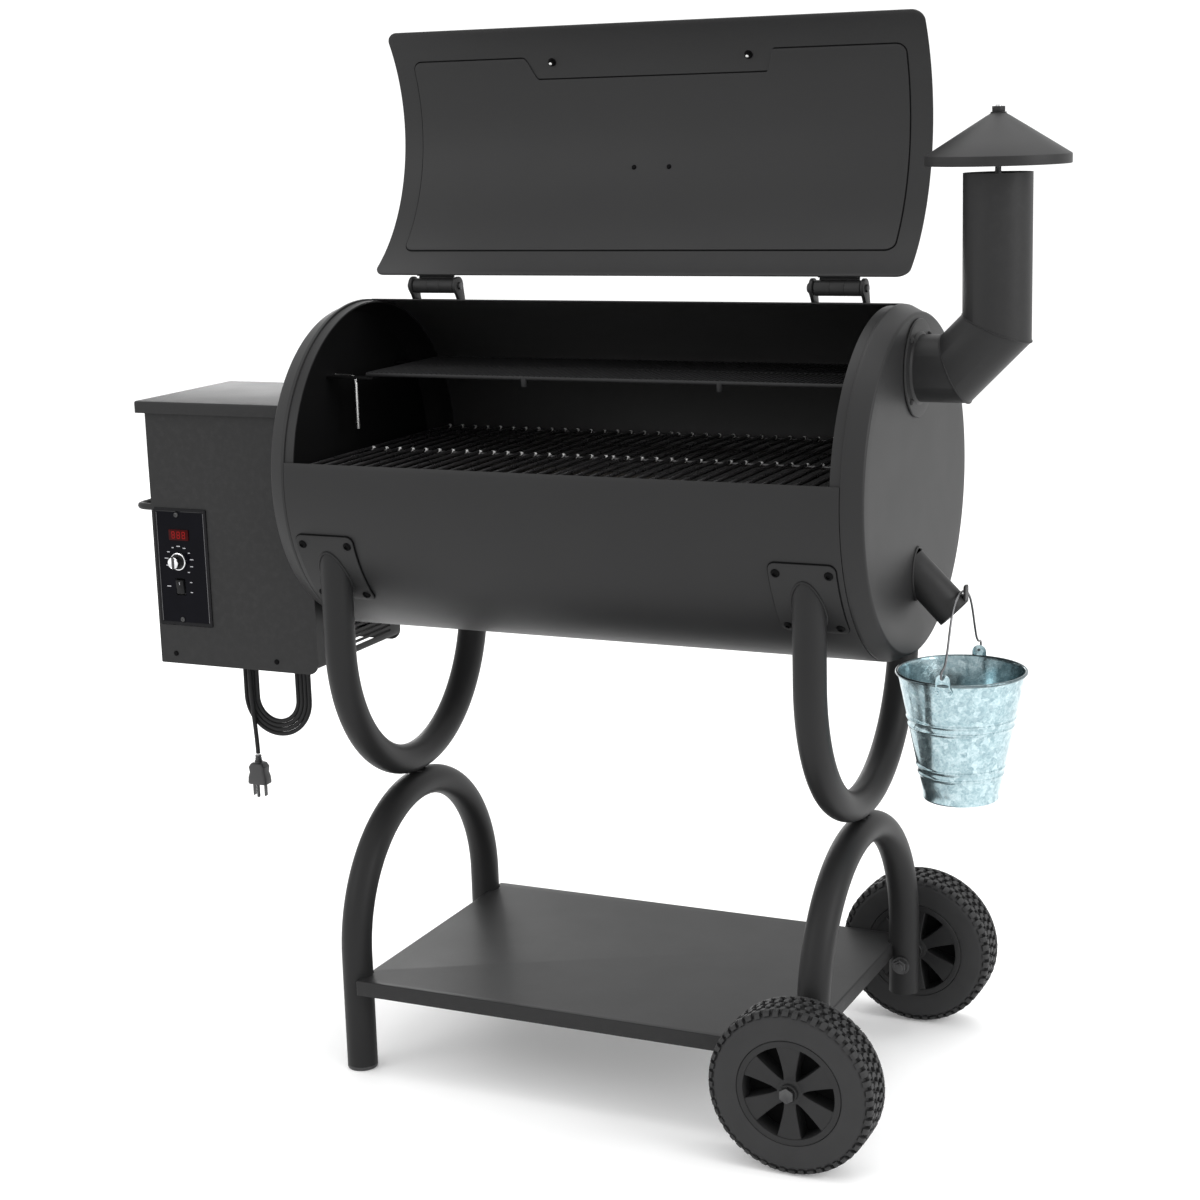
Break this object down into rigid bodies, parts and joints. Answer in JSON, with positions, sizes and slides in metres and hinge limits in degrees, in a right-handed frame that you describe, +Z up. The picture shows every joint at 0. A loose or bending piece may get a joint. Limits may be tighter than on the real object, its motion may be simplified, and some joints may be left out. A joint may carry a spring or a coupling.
{
  "type": "pellet smoker grill",
  "caption": "Barrel pellet smoker grill with a hinged lid, side pellet hopper with controller, chimney, hanging grease bucket and a wheeled tube stand with a lower shelf.",
  "frame": {"origin": "middle of the overall box in X and Y, on the ground", "axes": "+X along the barrel towards the chimney, +Y to the rear, +Z up"},
  "size_m": [1.2898, 0.579, 1.3691],
  "materials": {
    "charcoal_powder_coat": "matte textured powder coat",
    "grate_enamel": "satin porcelain enamel",
    "galvanised": "hot-dip galvanised, light spangle",
    "zinc_plated": "zinc plated, satin",
    "stainless": "satin",
    "chrome": "polished",
    "panel_gloss": "high gloss",
    "black_plastic": "matte moulded",
    "display": "dark red tinted window",
    "tyre_rubber": "matte moulded rubber",
    "cord_rubber": "matte"
  },
  "bodies": {
    "body": {"barrel_shell": "charcoal_powder_coat", "right_end_cap": "charcoal_powder_coat", "left_end_cap": "charcoal_powder_coat", "drip_tray": "zinc_plated", "heat_baffle": "zinc_plated", "fire_pot": "zinc_plated", "igniter_rod": "stainless", "air_duct": "zinc_plated", "auger_tube": "stainless", "auger_motor": "zinc_plated", "fan_housing": "zinc_plated", "temperature_probe": "stainless", "drain_spout": "charcoal_powder_coat", "chimney_flange": "charcoal_powder_coat", "chimney_pipe": "charcoal_powder_coat", "hinge_base_left": "charcoal_powder_coat", "hinge_base_right": "charcoal_powder_coat", "upper_frame_tube_left": "charcoal_powder_coat", "upper_frame_tube_right": "charcoal_powder_coat", "lower_frame_tube_left": "charcoal_powder_coat", "lower_frame_tube_right": "charcoal_powder_coat", "foot_glide_front": "black_plastic", "foot_glide_rear": "black_plastic", "saddle_front_left": "charcoal_powder_coat", "saddle_front_right": "charcoal_powder_coat", "saddle_rear_left": "charcoal_powder_coat", "saddle_rear_right": "charcoal_powder_coat", "bottom_shelf": "charcoal_powder_coat", "wheel_axle_front": "zinc_plated", "wheel_axle_rear": "zinc_plated", "hopper_casing": "charcoal_powder_coat", "pellet_bin": "zinc_plated", "hopper_handle": "charcoal_powder_coat", "control_panel": "panel_gloss", "display_window": "display", "cord_gland": "black_plastic", "cord_hank": "cord_rubber", "cord_tail": "cord_rubber", "cord_plug": "black_plastic"},
    "lid": {"lid_shell": "charcoal_powder_coat", "lid_handle": "stainless", "lid_badge_plate": "stainless", "hinge_leaf_left": "charcoal_powder_coat", "hinge_leaf_right": "charcoal_powder_coat"},
    "hopper_lid_panel": {"hopper_lid": "charcoal_powder_coat"},
    "wheel_front": {"wheel_hub_front": "black_plastic", "wheel_tyre_front": "tyre_rubber"},
    "wheel_rear": {"wheel_hub_rear": "black_plastic", "wheel_tyre_rear": "tyre_rubber"},
    "knob": {"selector_knob": "chrome"},
    "rocker": {"power_switch": "black_plastic"},
    "chimney_cowl": {"chimney_cap": "charcoal_powder_coat"},
    "bail": {"bucket_bail": "zinc_plated"},
    "bucket": {"bucket_shell": "galvanised"},
    "grate_left": {"cooking_grate_left": "grate_enamel"},
    "grate_right": {"cooking_grate_right": "grate_enamel"},
    "rack": {"warming_rack": "grate_enamel"},
    "auger": {"auger_screw": "stainless"},
    "impeller": {"fan_impeller": "black_plastic"}
  },
  "joints": [
    {"name": "lid_hinge", "type": "hinge", "parent": "body", "child": "lid", "pos_m": [0.06171, 0.043, 1.035], "axis": [1, 0, 0], "range_deg": [0, 138.4]},
    {"name": "hopper_lid_hinge", "type": "hinge", "parent": "body", "child": "hopper_lid_panel", "pos_m": [-0.47229, 0.119, 0.877], "axis": [-1, 0, 0], "range_deg": [0, 95]},
    {"name": "wheel_front_spin", "type": "hinge", "parent": "body", "child": "wheel_front", "pos_m": [0.38771, -0.2535, 0.1055], "axis": [0, 1, 0], "continuous": true},
    {"name": "wheel_rear_spin", "type": "hinge", "parent": "body", "child": "wheel_rear", "pos_m": [0.38771, 0.2535, 0.1055], "axis": [0, 1, 0], "continuous": true},
    {"name": "selector_knob_turn", "type": "hinge", "parent": "body", "child": "knob", "pos_m": [-0.55879, -0.118, 0.668], "axis": [0, 1, 0], "range_deg": [0, 270]},
    {"name": "power_switch_rock", "type": "hinge", "parent": "body", "child": "rocker", "pos_m": [-0.55879, -0.1129, 0.632], "axis": [1, 0, 0], "range_deg": [-14, 0]},
    {"name": "chimney_cap_height", "type": "slide", "parent": "body", "child": "chimney_cowl", "axis": [0, 0, 1], "range_m": [-0.008, 0.004]},
    {"name": "bail_swing", "type": "hinge", "parent": "body", "child": "bail", "pos_m": [0.51771, 0, 0.669], "axis": [0, 1, 0], "range_deg": [-30, 3]},
    {"name": "bucket_swing", "type": "hinge", "parent": "bail", "child": "bucket", "pos_m": [0.51771, 0, 0.5755], "axis": [0, 1, 0], "range_deg": [-15, 2]},
    {"name": "grate_left_lift", "type": "slide", "parent": "body", "child": "grate_left", "axis": [0, 0, 1], "range_m": [0, 0.03]},
    {"name": "grate_right_lift", "type": "slide", "parent": "body", "child": "grate_right", "axis": [0, 0, 1], "range_m": [0, 0.03]},
    {"name": "warming_rack_lift", "type": "slide", "parent": "body", "child": "rack", "axis": [0, 0, 1], "range_m": [0, 0.025]},
    {"name": "auger_spin", "type": "hinge", "parent": "body", "child": "auger", "pos_m": [-0.23829, 0, 0.632], "axis": [1, 0, 0], "continuous": true},
    {"name": "fan_spin", "type": "hinge", "parent": "body", "child": "impeller", "pos_m": [-0.37829, 0, 0.575], "axis": [0, 0, 1], "continuous": true}
  ]
}
